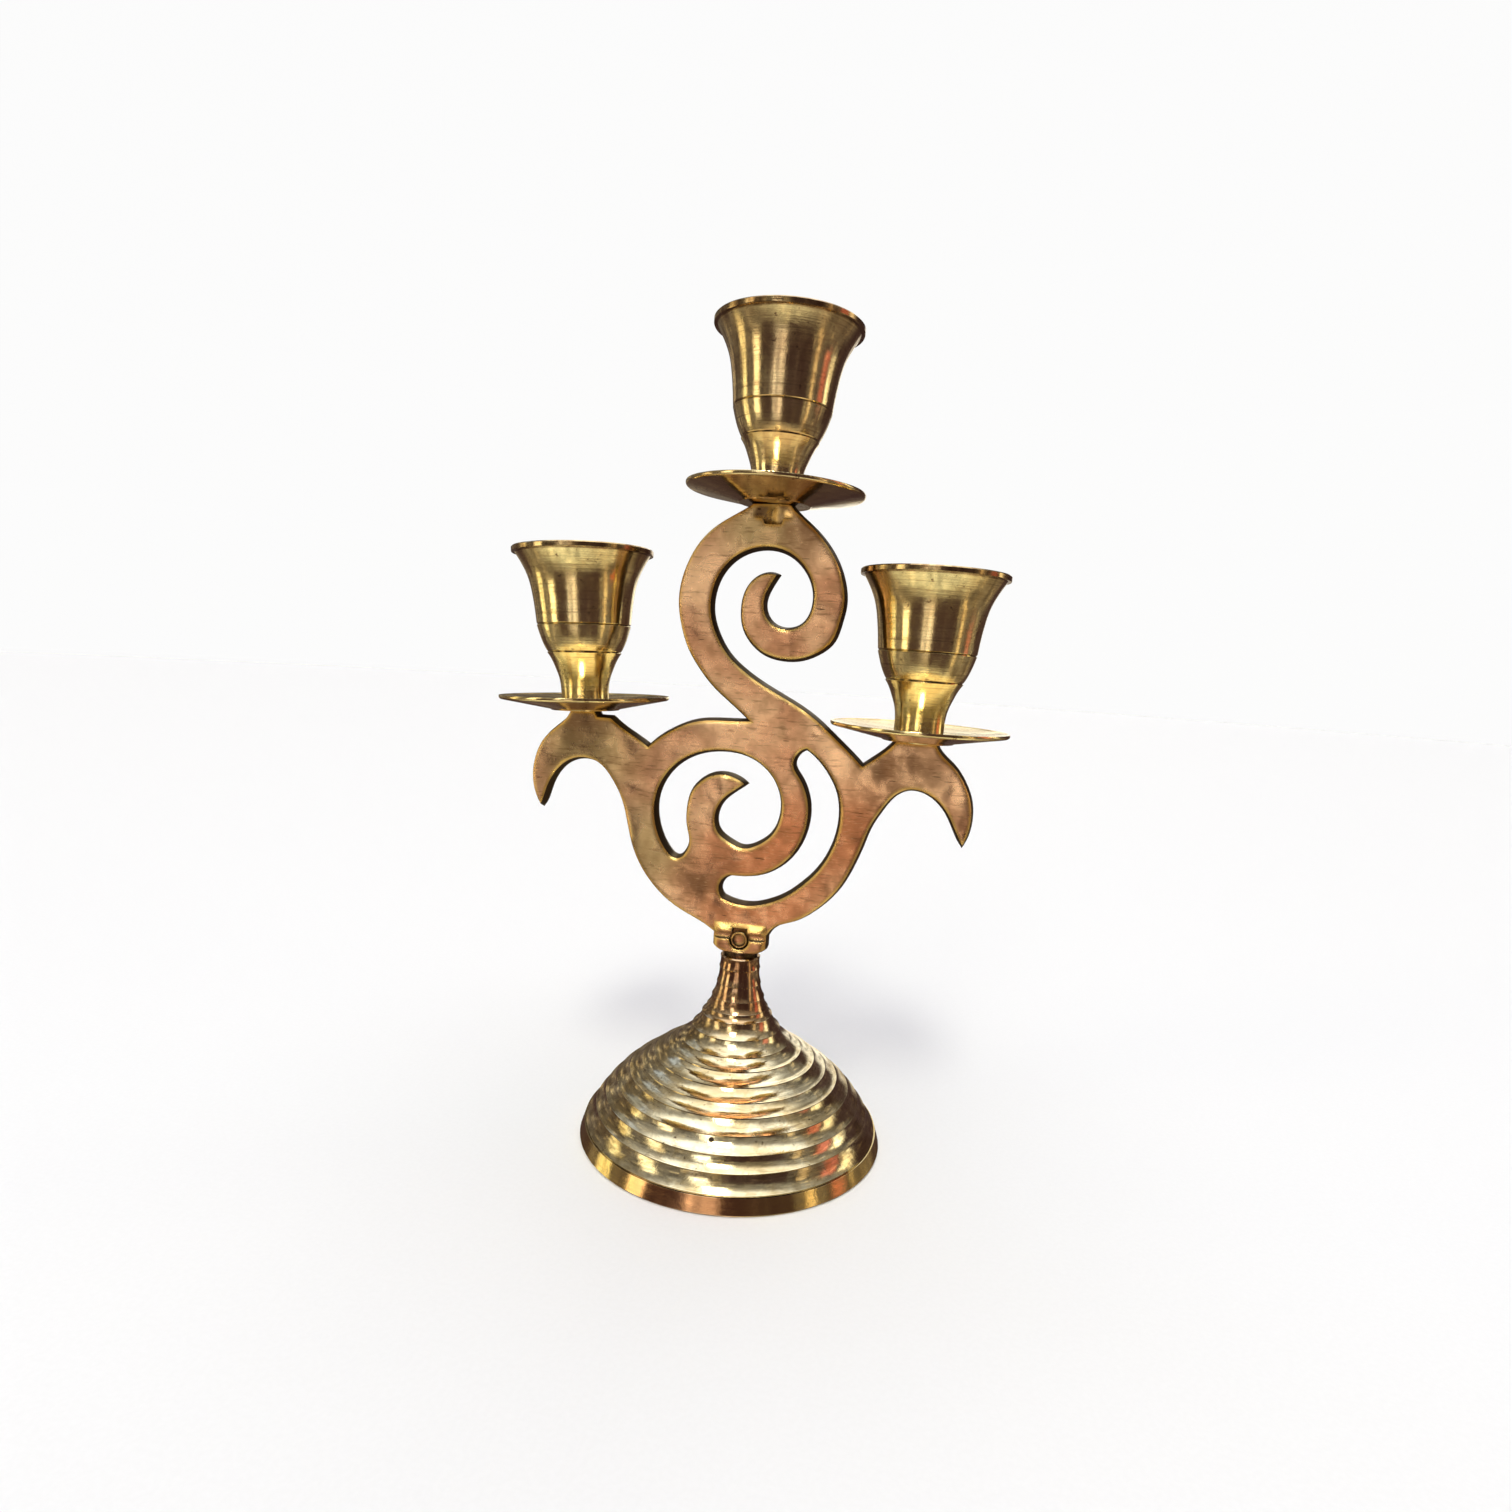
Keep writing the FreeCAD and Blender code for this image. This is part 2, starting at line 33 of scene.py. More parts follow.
class Nodes:
    """Shader nodes built by short calls; sockets and plain values are both accepted as inputs."""

    def __init__(self, tree):
        self.tree = tree

    def new(self, kind):
        return self.tree.nodes.new(kind)

    def link(self, source, socket):
        self.tree.links.new(source, socket)

    def feed(self, socket, value):
        if isinstance(value, bpy.types.NodeSocket):
            self.link(value, socket)
        elif isinstance(value, tuple) and len(value) == 3 and len(socket.default_value) == 4:
            socket.default_value = (*value, 1)
        else:
            socket.default_value = value

    def math(self, operation, a, b=0.0):
        node = self.new("ShaderNodeMath")
        node.operation = operation
        self.feed(node.inputs[0], a)
        self.feed(node.inputs[1], b)
        return node.outputs[0]

    def times(self, a, b):
        return self.math("MULTIPLY", a, b)

    def plus(self, a, b):
        return self.math("ADD", a, b)

    def split(self, vector):
        node = self.new("ShaderNodeSeparateXYZ")
        self.feed(node.inputs[0], vector)
        return node.outputs

    def join(self, x, y, z):
        node = self.new("ShaderNodeCombineXYZ")
        for socket, value in zip(node.inputs, (x, y, z)):
            self.feed(socket, value)
        return node.outputs[0]

    def moved(self, vector, location=(0, 0, 0), rotation=(0, 0, 0)):
        node = self.new("ShaderNodeMapping")
        node.vector_type = "POINT"
        self.feed(node.inputs["Vector"], vector)
        node.inputs["Location"].default_value = location
        node.inputs["Rotation"].default_value = rotation
        return node.outputs[0]

    def noise(self, vector, scale, detail=3.0, rough=0.5, distortion=0.0):
        """Noise of about scale cells to the metre, around 0.5."""
        node = self.new("ShaderNodeTexNoise")
        self.feed(node.inputs["Vector"], vector)
        node.inputs["Scale"].default_value = scale
        node.inputs["Detail"].default_value = detail
        node.inputs["Roughness"].default_value = rough
        node.inputs["Distortion"].default_value = distortion
        return node.outputs["Fac"]

    def ramp(self, value, low, high, out_low=0.0, out_high=1.0):
        """value carried from low..high to out_low..out_high, clamped, with a smooth step."""
        node = self.new("ShaderNodeMapRange")
        node.interpolation_type = "SMOOTHSTEP"
        self.feed(node.inputs["Value"], value)
        node.inputs["From Min"].default_value = low
        node.inputs["From Max"].default_value = high
        node.inputs["To Min"].default_value = out_low
        node.inputs["To Max"].default_value = out_high
        return node.outputs["Result"]

    def mix(self, factor, a, b, blend="MIX"):
        node = self.new("ShaderNodeMix")
        node.data_type = "RGBA"
        node.blend_type = blend
        colors = [socket for socket in node.inputs if socket.type == "RGBA"]
        self.feed(node.inputs["Factor"], factor)
        self.feed(colors[0], a)
        self.feed(colors[1], b)
        return next(socket for socket in node.outputs if socket.type == "RGBA")

    def add(self, a, b):
        return self.mix(1.0, a, b, "ADD")


class Shader(Nodes):
    """A node material on one Principled surface."""

    def __init__(self, name):
        self.material = bpy.data.materials.new(name)
        self.material.use_nodes = True
        super().__init__(self.material.node_tree)
        self.tree.nodes.clear()
        self.surface = self.new("ShaderNodeBsdfPrincipled")
        self.link(self.surface.outputs[0], self.new("ShaderNodeOutputMaterial").inputs["Surface"])
        self.place = self.new("ShaderNodeTexCoord").outputs["Object"]
        self.normal = self.new("ShaderNodeNewGeometry").outputs["Normal"]

    def spot(self, centre, radius, fade):
        """1 within radius of a point, falling to 0 over fade."""
        away = self.new("ShaderNodeVectorMath")
        away.operation = "DISTANCE"
        self.feed(away.inputs[0], self.place)
        away.inputs[1].default_value = centre
        return self.ramp(away.outputs["Value"], radius, radius + fade, 1.0, 0.0)

    def rounded(self, radius):
        """The normal as it would be with every edge rounded over by radius."""
        node = self.new("ShaderNodeBevel")
        node.samples = 6
        node.inputs["Radius"].default_value = radius
        return node.outputs[0]

    def near_edge(self, radius):
        """1 on the edges themselves, falling to 0 at about radius from them."""
        node = self.new("ShaderNodeVectorMath")
        node.operation = "DOT_PRODUCT"
        self.feed(node.inputs[0], self.rounded(radius))
        self.feed(node.inputs[1], self.normal)
        return self.ramp(node.outputs["Value"], 0.86, 0.99, 1.0, 0.0)

    def occlusion_shade(self, reach):
        """1 deep in grooves and inner corners, falling to 0 on open faces."""
        # an ambient occlusion mask, used to paint shade into grooves and inner corners
        node = self.new("ShaderNodeAmbientOcclusion")
        node.samples = 8
        node.only_local = True
        node.inputs["Distance"].default_value = reach
        return self.ramp(node.outputs["AO"], 0.35, 0.92, 1.0, 0.0)

    def bump(self, height, distance, under=None, strength=1.0):
        """The normal with a relief of the given depth on it, over another relief if there is one."""
        node = self.new("ShaderNodeBump")
        node.inputs["Distance"].default_value = distance
        node.inputs["Strength"].default_value = strength
        self.feed(node.inputs["Height"], height)
        if under is not None:
            self.link(under, node.inputs["Normal"])
        return node.outputs["Normal"]

    def blurred_along_axis(self, amount):
        """Reflections drawn out along the turned axis, as fine lathe marks do."""
        tangent = self.new("ShaderNodeTangent")
        tangent.direction_type = "RADIAL"
        tangent.axis = "Z"
        self.link(tangent.outputs[0], self.surface.inputs["Tangent"])
        self.surface.inputs["Anisotropic"].default_value = amount
        self.surface.inputs["Anisotropic Rotation"].default_value = QUARTER_TURN

    def finish(self, color, roughness, normal=None, metallic=1.0):
        self.feed(self.surface.inputs["Base Color"], color)
        self.feed(self.surface.inputs["Roughness"], roughness)
        self.surface.inputs["Metallic"].default_value = metallic
        if normal is not None:
            self.link(normal, self.surface.inputs["Normal"])
        return self.material


# ---------------------------------------------------------------- turned brass

# Clean brass, brass under thin tarnish, and the dark of old turning marks and grit.
YELLOW = ((0.93, 0.8, 0.45), (0.72, 0.54, 0.26), (0.2, 0.12, 0.06))
BROWN = ((0.78, 0.65, 0.38), (0.54, 0.39, 0.22), (0.2, 0.12, 0.07))
PALE = ((0.88, 0.8, 0.58), (0.58, 0.45, 0.24), (0.16, 0.1, 0.045))
# near-black painted shade, laid in the grooves where they are occluded
GROOVE_SHADE = (0.05, 0.03, 0.015)
GROOVE_SHADE_REACH = 1.4 * MM       # how far out of a groove the painted shade reaches
MARKS_SQUEEZE = 0.03         # the marks' noise is squeezed this much across the axis, so it runs round it
RELIEF = 0.05 * MM           # depth of the unevenness left by polishing


def turned_brass(name, seat, lean, tones, polish, marks_blur, marks_depth, groove_shade):
    """Lathe-turned, polished brass: fine rings about the piece's own axis, tarnish in drifts, small pits.

    The axis passes through seat (x, z) and leans toward +X by lean degrees. polish is the roughness,
    marks_blur how much more the turning marks blur reflections along the axis than round it, marks_depth
    the depth of the marks, and groove_shade how much painted shade darkens the grooves.
    """
    s = Shader(name)
    x, z = seat
    own = s.moved(s.place, location=(-x, 0, -z))
    own = s.moved(own, rotation=(0, -math.radians(lean), 0))
    px, py, pz = s.split(own)
    radius = s.math("SQRT", s.plus(s.times(px, px), s.times(py, py)))
    rings = s.join(s.times(px, MARKS_SQUEEZE), s.times(py, MARKS_SQUEEZE), s.plus(pz, radius))
    fine = s.noise(rings, scale=3000, rough=0.7)
    broad = s.noise(rings, scale=1000, rough=0.55)
    drift = s.noise(own, scale=60, detail=4.0, rough=0.6, distortion=0.6)
    mottle = s.noise(own, scale=240, detail=4.0, rough=0.62, distortion=0.5)
    grit = s.noise(own, scale=900, rough=0.6)
    light, deep, dark = tones
    color = s.mix(s.ramp(drift, 0.36, 0.66), light, deep)
    color = s.mix(s.times(s.ramp(mottle, 0.5, 0.66), 0.5), color, deep)
    color = s.mix(s.times(s.ramp(broad, 0.56, 0.74), 0.3), color, dark)
    color = s.mix(s.times(s.ramp(fine, 0.54, 0.68), 0.4), color, dark)
    color = s.mix(s.times(s.ramp(grit, 0.6, 0.72), s.ramp(mottle, 0.45, 0.6)), color, dark)
    # painted shade: the grooves darkened by their ambient occlusion
    color = s.mix(s.times(s.occlusion_shade(GROOVE_SHADE_REACH), groove_shade), color, GROOVE_SHADE)
    rough = s.ramp(mottle, 0.35, 0.65, polish * 0.75, polish * 1.4)
    rough = s.plus(rough, s.ramp(fine, 0.3, 0.7, -0.03, 0.05))
    normal = s.bump(s.plus(mottle, drift), RELIEF)
    normal = s.bump(s.plus(s.times(fine, 0.4), broad), marks_depth, normal)
    s.blurred_along_axis(marks_blur)
    return s, color, rough, normal


LIP_BAND = 41.9 * MM         # height above a light's seat where the band round the cup's lip begins
LIP_TARNISH = (0.26, 0.15, 0.07)


def cup_brass(name, seat, lean, tones):
    """A candle cup: polished, with a band of old tarnish round the outside of its lip."""
    s, color, rough, normal = turned_brass(
        name, seat, lean, tones, polish=0.14, marks_blur=0.6, marks_depth=0.02 * MM, groove_shade=0.8)
    angle = math.radians(lean)
    x, _, z = s.split(s.place)
    along = s.plus(s.times(s.math("SUBTRACT", x, seat[0]), math.sin(angle)),
                   s.times(s.math("SUBTRACT", z, seat[1]), math.cos(angle)))
    wear = s.noise(s.place, scale=420, rough=0.6)
    band = s.times(s.ramp(along, LIP_BAND - 0.1 * MM, LIP_BAND), s.ramp(wear, 0.35, 0.6, 0.9, 0.5))
    return s.finish(s.mix(band, color, LIP_TARNISH), rough, normal)


def pan_brass(name, seat, lean, tones):
    """A drip pan: smoother than the cups, its turning marks hardly felt."""
    s, color, rough, normal = turned_brass(
        name, seat, lean, tones, polish=0.1, marks_blur=0.0, marks_depth=0.004 * MM, groove_shade=0.6)
    return s.finish(color, rough, normal)


NECK_FROM, NECK_TO = 30 * MM, 44 * MM           # the foot turns copper-brown between these heights
NECK_COPPER = (0.46, 0.25, 0.13)
RIM_BAND = 4.5 * MM                             # top of the plain band round the foot's rim
RIM_GOLD = (0.78, 0.58, 0.22)
RIM_COPPER = (0.6, 0.31, 0.17)
RIM_COPPER_SPOT = ((-0.004, -0.044, 0.002), 8 * MM, 16 * MM)
STEP_LIP_HIGHLIGHT = (0.98, 0.9, 0.66)                    # the steps' edges, rubbed bright with a painted highlight
STEP_LIP_HIGHLIGHT_WIDTH = 0.35 * MM
PIT = ((0.0012, -0.0342, 0.0153), 0.6 * MM, 0.25 * MM)
PIT_DARK = (0.03, 0.02, 0.015)


def foot_brass(name):
    """The turned foot: pale on its steps, copper-brown up the neck and round the plain band at the rim."""
    s, color, rough, normal = turned_brass(
        name, (0, 0), 0, PALE, polish=0.11, marks_blur=0.2, marks_depth=0.015 * MM, groove_shade=0.95)
    height = s.split(s.place)[2]
    age = s.noise(s.place, scale=90, rough=0.6, distortion=0.5)
    neck = s.times(s.ramp(height, NECK_FROM, NECK_TO), s.ramp(age, 0.3, 0.6, 0.5, 0.9))
    color = s.mix(neck, color, NECK_COPPER)
    band = s.ramp(height, RIM_BAND - 0.1 * MM, RIM_BAND + 0.1 * MM, 1.0, 0.0)
    color = s.mix(s.times(band, 0.8), color, RIM_GOLD)
    copper = s.times(band, s.spot(*RIM_COPPER_SPOT))
    color = s.mix(s.times(copper, 0.85), color, RIM_COPPER)
    # painted highlight along the rubbed lips of the steps
    lip_highlight = s.times(s.near_edge(STEP_LIP_HIGHLIGHT_WIDTH), s.ramp(age, 0.3, 0.6, 0.3, 0.9))
    color = s.mix(lip_highlight, color, STEP_LIP_HIGHLIGHT)
    return s.finish(s.mix(s.spot(*PIT), color, PIT_DARK), rough, normal)


# ---------------------------------------------------------------- cast brass

CAST_RED, CAST_GOLD = (0.66, 0.36, 0.21), (1.0, 0.68, 0.42)
STAIN = (0.3, 0.15, 0.07)
FILED_BRIGHT, FILED_DARK = (1.0, 0.74, 0.42), (0.2, 0.1, 0.045)
DIRT_AND_SHADE = (0.05, 0.03, 0.02)    # dirt in the scratches, and painted shade in the inner corners
# edges rubbed golden, made brighter still as a painted highlight
RUBBED_GOLD_HIGHLIGHT = (1.0, 0.68, 0.22)
RUBBED_HIGHLIGHT_WIDTH = 1.8 * MM
BEVEL_BRIGHT, BEVEL_DEEP = (1.0, 0.72, 0.28), (0.8, 0.5, 0.18)
WALL = (0.05, 0.035, 0.025)  # the rough walls of the cut-outs and the outline
CORNER_REACH = 1.6 * MM      # how far out of a corner the painted shade reaches
# near-black painted shade on the spigot, in the gap under the knuckle
SPIGOT_SHADE = (0.04, 0.025, 0.02)
SPIGOT_TOP = 56.2 * MM       # the frame's round spigot ends here, under the knuckle
EDGE_ROUND = 1.9 * MM        # the faces roll off toward their edges over this width
FACE_WAVES = 1.9 * MM        # depth of the slow waves left in the faces by filing

# Patches where the faces have aged, and dark brown patches of painted shade: colour, then the cover as a
# ramp of the mottle, then each patch's centre (m), radius and fade (m).
PATCHES = (
    ((0.56, 0.44, 0.22), (0.3, 0.55, 0.7, 0.9), (      # olive
        ((-0.047, 0, 0.110), 0.006, 0.016),
        ((-0.028, 0, 0.084), 0.004, 0.015),
        ((0.000, 0, 0.172), 0.004, 0.013),
    )),
    ((0.66, 0.27, 0.13), (0.3, 0.6, 0.5, 0.95), (      # copper
        ((0.004, 0, 0.074), 0.008, 0.022),
        ((0.028, 0, 0.092), 0.004, 0.018),
        ((0.010, 0, 0.090), 0.004, 0.012),
    )),
    ((0.3, 0.17, 0.09), (0.3, 0.6, 0.35, 0.85), (      # dark brown painted shade, three patches just under the pans' seats
        ((0.039, 0, 0.111), 0.004, 0.013),
        ((-0.048, 0, 0.118), 0.002, 0.008),
        ((-0.013, 0, 0.076), 0.002, 0.010),
        ((0.010, 0, 0.170), 0.002, 0.008),
    )),
)


def frame_brass(name):
    """Cast brass: browned, scratched faces, rubbed golden toward their edges with a painted highlight there,
    near-black cast walls, and painted shade in the corners, under the pans and on the spigot.
    """
    s = Shader(name)
    px, py, pz = s.split(s.place)
    facing = s.math("ABSOLUTE", s.split(s.normal)[1])
    wall = s.ramp(facing, 0.35, 0.5, 1.0, 0.0)
    bevel = s.ramp(facing, 0.85, 0.95, 1.0, 0.0)
    # filing and rubbing marks run across the frame, so their noise is stretched along X
    streaks = s.join(s.times(px, 0.14), py, pz)
    fine = s.noise(streaks, scale=3000, rough=0.65)
    broad = s.noise(streaks, scale=1300, detail=4.0, rough=0.62, distortion=0.3)
    scratch = s.noise(s.join(s.times(px, 0.1), py, pz), scale=1500, detail=2.0)
    drift = s.noise(s.place, scale=48, detail=2.0, distortion=0.4)
    mottle = s.noise(s.place, scale=200, detail=4.0, rough=0.55, distortion=0.3)
    grit = s.noise(s.place, scale=1700, rough=0.6)
    color = s.mix(s.ramp(drift, 0.36, 0.64), CAST_RED, CAST_GOLD)
    # aged patches, and the dark brown patches of painted shade under the pans
    for patch_tone, cover, spots in PATCHES:
        for spot in spots:
            color = s.mix(s.times(s.spot(*spot), s.ramp(mottle, *cover)), color, patch_tone)
    color = s.mix(s.times(s.ramp(mottle, 0.45, 0.75), 0.4), color, STAIN)
    color = s.mix(s.times(s.ramp(fine, 0.55, 0.72), 0.35), color, FILED_BRIGHT)
    color = s.mix(s.times(s.ramp(broad, 0.53, 0.68), 0.5), color, FILED_DARK)
    color = s.mix(s.ramp(scratch, 0.7, 0.74), color, DIRT_AND_SHADE)
    # the edges rubbed golden, with a painted highlight on them
    rubbed_highlight = s.times(s.near_edge(RUBBED_HIGHLIGHT_WIDTH), s.ramp(mottle, 0.35, 0.6, 0.45, 1.0))
    color = s.mix(rubbed_highlight, color, RUBBED_GOLD_HIGHLIGHT)
    color = s.mix(bevel, color, s.mix(s.ramp(drift, 0.35, 0.65), BEVEL_BRIGHT, BEVEL_DEEP))
    color = s.mix(s.times(wall, 0.94), color, WALL)
    # painted shade: inner corners darkened by their ambient occlusion
    color = s.mix(s.times(s.occlusion_shade(CORNER_REACH), 0.9), color, DIRT_AND_SHADE)
    # painted shade on the spigot below the knuckle
    color = s.mix(s.ramp(pz, SPIGOT_TOP, SPIGOT_TOP + 0.4 * MM, 0.9, 0.0), color, SPIGOT_SHADE)
    rough = s.plus(s.ramp(mottle, 0.3, 0.7, 0.22, 0.36), s.times(wall, 0.15))
    normal = s.bump(drift, FACE_WAVES, s.rounded(EDGE_ROUND))
    normal = s.bump(mottle, 0.09 * MM, normal)
    normal = s.bump(s.plus(fine, broad), 0.02 * MM, normal)
    normal = s.bump(grit, 0.02 * MM, normal, strength=0.8)
    return s.finish(color, rough, normal)


# ---------------------------------------------------------------- steel

STEEL_DARK, STEEL_BROWN = (0.08, 0.07, 0.06), (0.22, 0.17, 0.13)


def dark_steel(name):
    """Dull, darkened steel with the lines of a thread round it."""
    s = Shader(name)
    px, py, pz = s.split(s.place)
    threads = s.noise(s.join(s.times(px, 0.05), s.times(py, 0.05), pz), scale=1400, detail=2.0)
    drift = s.noise(s.place, scale=300)
    color = s.mix(s.ramp(drift, 0.3, 0.7), STEEL_DARK, STEEL_BROWN)
    return s.finish(color, s.ramp(drift, 0.2, 0.8, 0.35, 0.6), s.bump(threads, 0.03 * MM))


# ---------------------------------------------------------------- dressing the CAD nodes


def dress(node_name, material):
    for slot in NODES[node_name].material_slots:
        slot.material = material


def light_seats():
    """Each light's seat (x, z) and its lean toward +X in degrees, read from its pan's joint."""
    seats = {}
    for joint in frame["joints"]:
        light, _, rest = joint["name"].partition("_")
        if rest == "pan_turn":
            x, _, z = joint["pos_m"]
            seats[light] = ((x, z), math.degrees(math.asin(joint["axis"][0])))
    return seats


SEATS = light_seats()
for light in LIGHTS:
    seat, lean = SEATS[light]
    tones = BROWN if light == "top" else YELLOW
    dress(light + "_cup", cup_brass(light + "_cup_brass", seat, lean, tones))
    dress(light + "_pan", pan_brass(light + "_pan_brass", seat, lean, tones))
dress("base", foot_brass("base_brass"))
dress("scroll_plate", frame_brass("cast_brass"))
dress("knuckle_pin", frame_brass("pin_brass"))
STEEL = dark_steel("dark_steel")
for name in ("frame_stud", "stud_washer", "stud_nut", "top_stud", "left_stud", "right_stud"):
    dress(name, STEEL)

# ---------------------------------------------------------------- studio

# Light from each height above and below the horizon: height (degrees), strength, colour.
SKY = (
    (-90, 0.3, (1.0, 0.84, 0.6)),
    (-56, 1.1, (1.0, 0.93, 0.68)),
    (-46, 0.9, (1.0, 0.9, 0.62)),
    (-36, 0.3, (1.0, 0.8, 0.55)),
    (0, 0.2, (1.0, 0.82, 0.66)),
    (25, 0.2, (1.0, 0.88, 0.7)),
    (48, 0.45, (1.0, 0.96, 0.86)),
    (62, 1.7, (1.0, 1.0, 0.97)),
    (90, 2.4, (1.0, 1.0, 1.0)),
)
# Soft panels round the object, for the brass to mirror: azimuth from +Y toward +X, half width, low and
# high edge and softness (degrees), strength, colour.
PANELS = (
    (-168, 4, 24, 44, 5, 3.6, (1.0, 0.95, 0.8)),
    (-165, 1, -30, 14, 2, 0.9, (1.0, 0.9, 0.75)),
    (-170, 8, -26, 4, 8, 0.85, (1.0, 0.86, 0.72)),
    (178, 3, -26, 2, 5, 0.58, (1.0, 0.82, 0.64)),
    (-125, 4, -16, 34, 5, 2.4, (1.0, 0.86, 0.55)),
    (180, 7, 50, 62, 4, 22.0, (1.0, 0.97, 0.78)),
    (170, 1, -30, 30, 1.5, 0.45, (1.0, 0.8, 0.65)),
    (150, 1, -24, 30, 1.5, 0.4, (1.0, 0.75, 0.6)),
    (110, 2, -30, 30, 3, 1.0, (1.0, 0.72, 0.35)),
    (84, 4, -5, 30, 5, 0.9, (1.0, 0.2, 0.12)),
    (66, 4, 0, 28, 5, 2.4, (1.0, 0.9, 0.6)),
    (-60, 10, 34, 46, 5, 0.5, (0.45, 0.65, 1.0)),
    (4, 9, 0, 60, 8, 1.2, (1.0, 0.96, 0.86)),
    (-92, 4, -20, 24, 5, 1.8, (1.0, 0.85, 0.45)),
)
# Dark panels: azimuth, half width, low and high edge, softness (degrees).
FLAGS = (
    (148, 24, -38, 30, 4),
    (38, 18, -5, 22, 10),
    (-150, 10, -30, -4, 10),
    (-15, 50, -60, -14, 10),
)
FLAG_TONE = (0.06, 0.03, 0.03)
FLAG_COVER = 0.86
ROOM_TOP = (40, 56)          # the light is uneven below these heights (degrees)
ROOM_SHADE = (0.04, 0.025, 0.02)
ROOM_GLINT = (0.7, 0.55, 0.3)
BLACK = (0, 0, 0)


def lit(color, strength):
    return tuple(strength * channel for channel in color)


class Sky(Nodes):
    """Shader nodes that shade by direction.

    x, y and z are the direction's parts, flat the length of its level part, and height its angle above
    the horizon in degrees.
    """

    def __init__(self, tree):
        super().__init__(tree)
        self.x, self.y, self.z = self.split(self.new("ShaderNodeTexCoord").outputs["Generated"])
        self.height = self.math("DEGREES", self.math("ARCSINE", self.z))
        flat = self.plus(self.times(self.x, self.x), self.times(self.y, self.y))
        self.flat = self.math("MAXIMUM", self.math("SQRT", flat), 0.0001)

    def panel(self, azimuth, half, low, high, soft):
        """1 inside a soft-edged window of azimuth and height."""
        angle = math.radians(azimuth)
        toward = self.plus(self.times(self.x, math.sin(angle)), self.times(self.y, math.cos(angle)))
        cosine = self.math("MINIMUM", self.math("DIVIDE", toward, self.flat), 1.0)
        away = self.math("DEGREES", self.math("ARCCOSINE", cosine))
        across = self.ramp(away, half, half + soft, 1.0, 0.0)
        up = self.ramp(self.height, low - soft, low)
        down = self.ramp(self.height, high, high + soft, 1.0, 0.0)
        return self.times(across, self.times(up, down))


def studio_world():
    """A soft room of light: bright overhead, dim at the horizon, with panels and flags."""
    world = bpy.data.worlds.new("studio")
    world.use_nodes = True
    world.node_tree.nodes.clear()
    s = Sky(world.node_tree)
    _, strength, color = SKY[0]
    light = lit(color, strength)
    for (low, _, _), (high, strength, color) in zip(SKY, SKY[1:]):
        light = s.mix(s.ramp(s.height, low, high), light, lit(color, strength))
    for *window, strength, color in PANELS:
        light = s.add(light, s.mix(s.panel(*window), BLACK, lit(color, strength)))
    # the room round the studio, a little darker here and brighter there
    clutter = s.noise(s.join(s.x, s.y, s.z), scale=9, rough=0.6, distortion=0.5)
    room = s.ramp(s.height, *ROOM_TOP, 1.0, 0.0)
    light = s.mix(s.times(room, s.ramp(clutter, 0.5, 0.58, 0.0, 0.6)), light, ROOM_SHADE)
    light = s.add(light, s.mix(s.times(room, s.ramp(clutter, 0.4, 0.34)), BLACK, ROOM_GLINT))
    for flag in FLAGS:
        light = s.mix(s.times(s.panel(*flag), FLAG_COVER), light, FLAG_TONE)
    back = s.new("ShaderNodeBackground")
    s.feed(back.inputs["Color"], light)
    back.inputs["Strength"].default_value = 1.0
    s.link(back.outputs[0], s.new("ShaderNodeOutputWorld").inputs[0])
    bpy.context.scene.world = world


FLOOR_TONES = ((0.797, 0.822, 0.919), (0.811, 0.836, 0.934))
SURROUND_TONES = ((0.955, 0.955, 0.955), (0.975, 0.975, 0.975))
STUDIO_RADIUS = 4.0
POLE_GAP = 0.001             # the surround stops this share of a quarter turn short of its pole


def paper(name, tones):
    """Matt studio paper with a faint grain; also returns its tone and its grain."""
    s = Shader(name)
    grain = s.noise(s.place, scale=900)
    return s, s.mix(s.ramp(grain, 0.3, 0.7), *tones), grain


def floor_paper(name):
    s, tone, grain = paper(name, FLOOR_TONES)
    return s.finish(tone, s.ramp(grain, 0.2, 0.8, 0.8, 0.9), s.bump(grain, 0.02 * MM), metallic=0.0)


def surround_paper(name):
    """Paper that glows by itself, so that it stays evenly pale."""
    s, tone, _ = paper(name, SURROUND_TONES)
    s.feed(s.surface.inputs["Emission Color"], tone)
    s.surface.inputs["Emission Strength"].default_value = 1.0
    return s.finish(BLACK, 1.0, metallic=0.0)


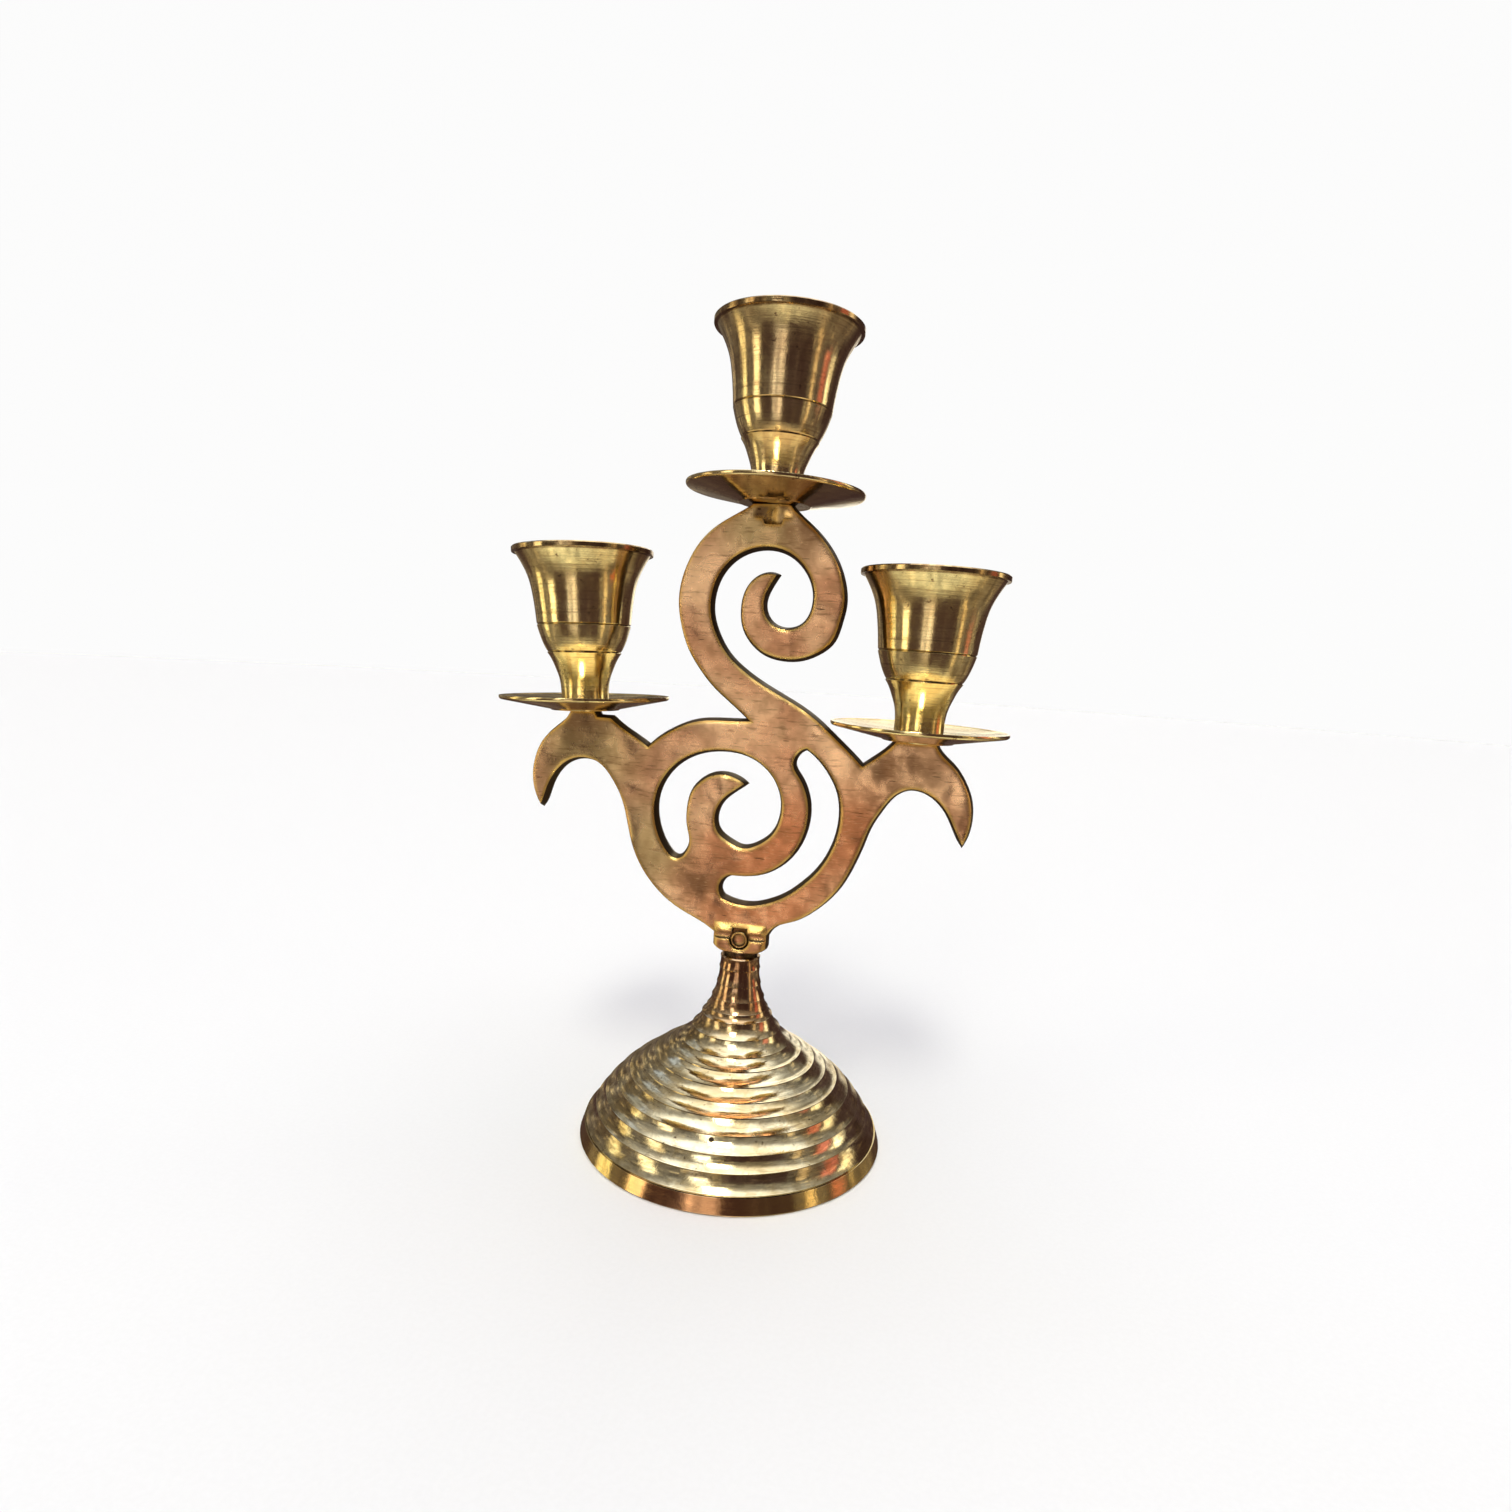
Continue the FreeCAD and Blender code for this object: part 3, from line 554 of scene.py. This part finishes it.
def backdrop(name, vertices, faces, material):
    """A staged surface that shadow and reflection pass by."""
    mesh = bpy.data.meshes.new(name)
    mesh.from_pydata(vertices, [], faces)
    mesh.materials.append(material)
    obj = bpy.data.objects.new(name, mesh)
    bpy.context.scene.collection.objects.link(obj)
    obj.visible_glossy = False
    obj.visible_shadow = False
    return obj


def disc(radius, count=64):
    turns = [2 * math.pi * i / count for i in range(count)]
    return [(radius * math.cos(a), radius * math.sin(a), 0.0) for a in turns], [tuple(range(count))]


def dome(radius, rings=12, count=48):
    """Upper half of a ball, open below."""
    vertices = []
    for i in range(rings):
        tilt = math.pi / 2 * i / (rings - 1) * (1 - POLE_GAP)
        flat = radius * math.cos(tilt)
        for j in range(count):
            a = 2 * math.pi * j / count
            vertices.append((flat * math.cos(a), flat * math.sin(a), radius * math.sin(tilt)))
    faces = []
    for i in range(rings - 1):
        for j in range(count):
            k = (j + 1) % count
            faces.append((i * count + j, i * count + k, (i + 1) * count + k, (i + 1) * count + j))
    return vertices, faces


studio_world()
backdrop("floor", *disc(STUDIO_RADIUS), floor_paper("floor_paper"))
surround = backdrop("surround", *dome(STUDIO_RADIUS), surround_paper("surround_paper"))
surround.visible_diffuse = False

# ---------------------------------------------------------------- camera

CAMERA_PLACE = Vector((0.0418, -0.2446, 0.1380))
YAW, PITCH, ROLL = math.radians(9.40), math.radians(-10.70), math.radians(3.59)
SENSOR, LENS = 36.0, 21.46   # mm
SHIFT = (0.0021, 0.0486)     # of the sensor's width
NEAR = 10 * MM


def photo_camera():
    data = bpy.data.cameras.new("camera")
    data.sensor_width = SENSOR
    data.lens = LENS
    data.shift_x, data.shift_y = SHIFT
    data.clip_start = NEAR
    camera = bpy.data.objects.new("camera", data)
    turn = Matrix.Rotation(YAW, 4, "Z")
    turn @= Matrix.Rotation(math.pi / 2 + PITCH, 4, "X")
    turn @= Matrix.Rotation(ROLL, 4, "Z")
    camera.matrix_world = Matrix.Translation(CAMERA_PLACE) @ turn
    bpy.context.scene.collection.objects.link(camera)
    return camera


bpy.context.scene.camera = photo_camera()
bpy.context.scene.view_settings.view_transform = "Standard"
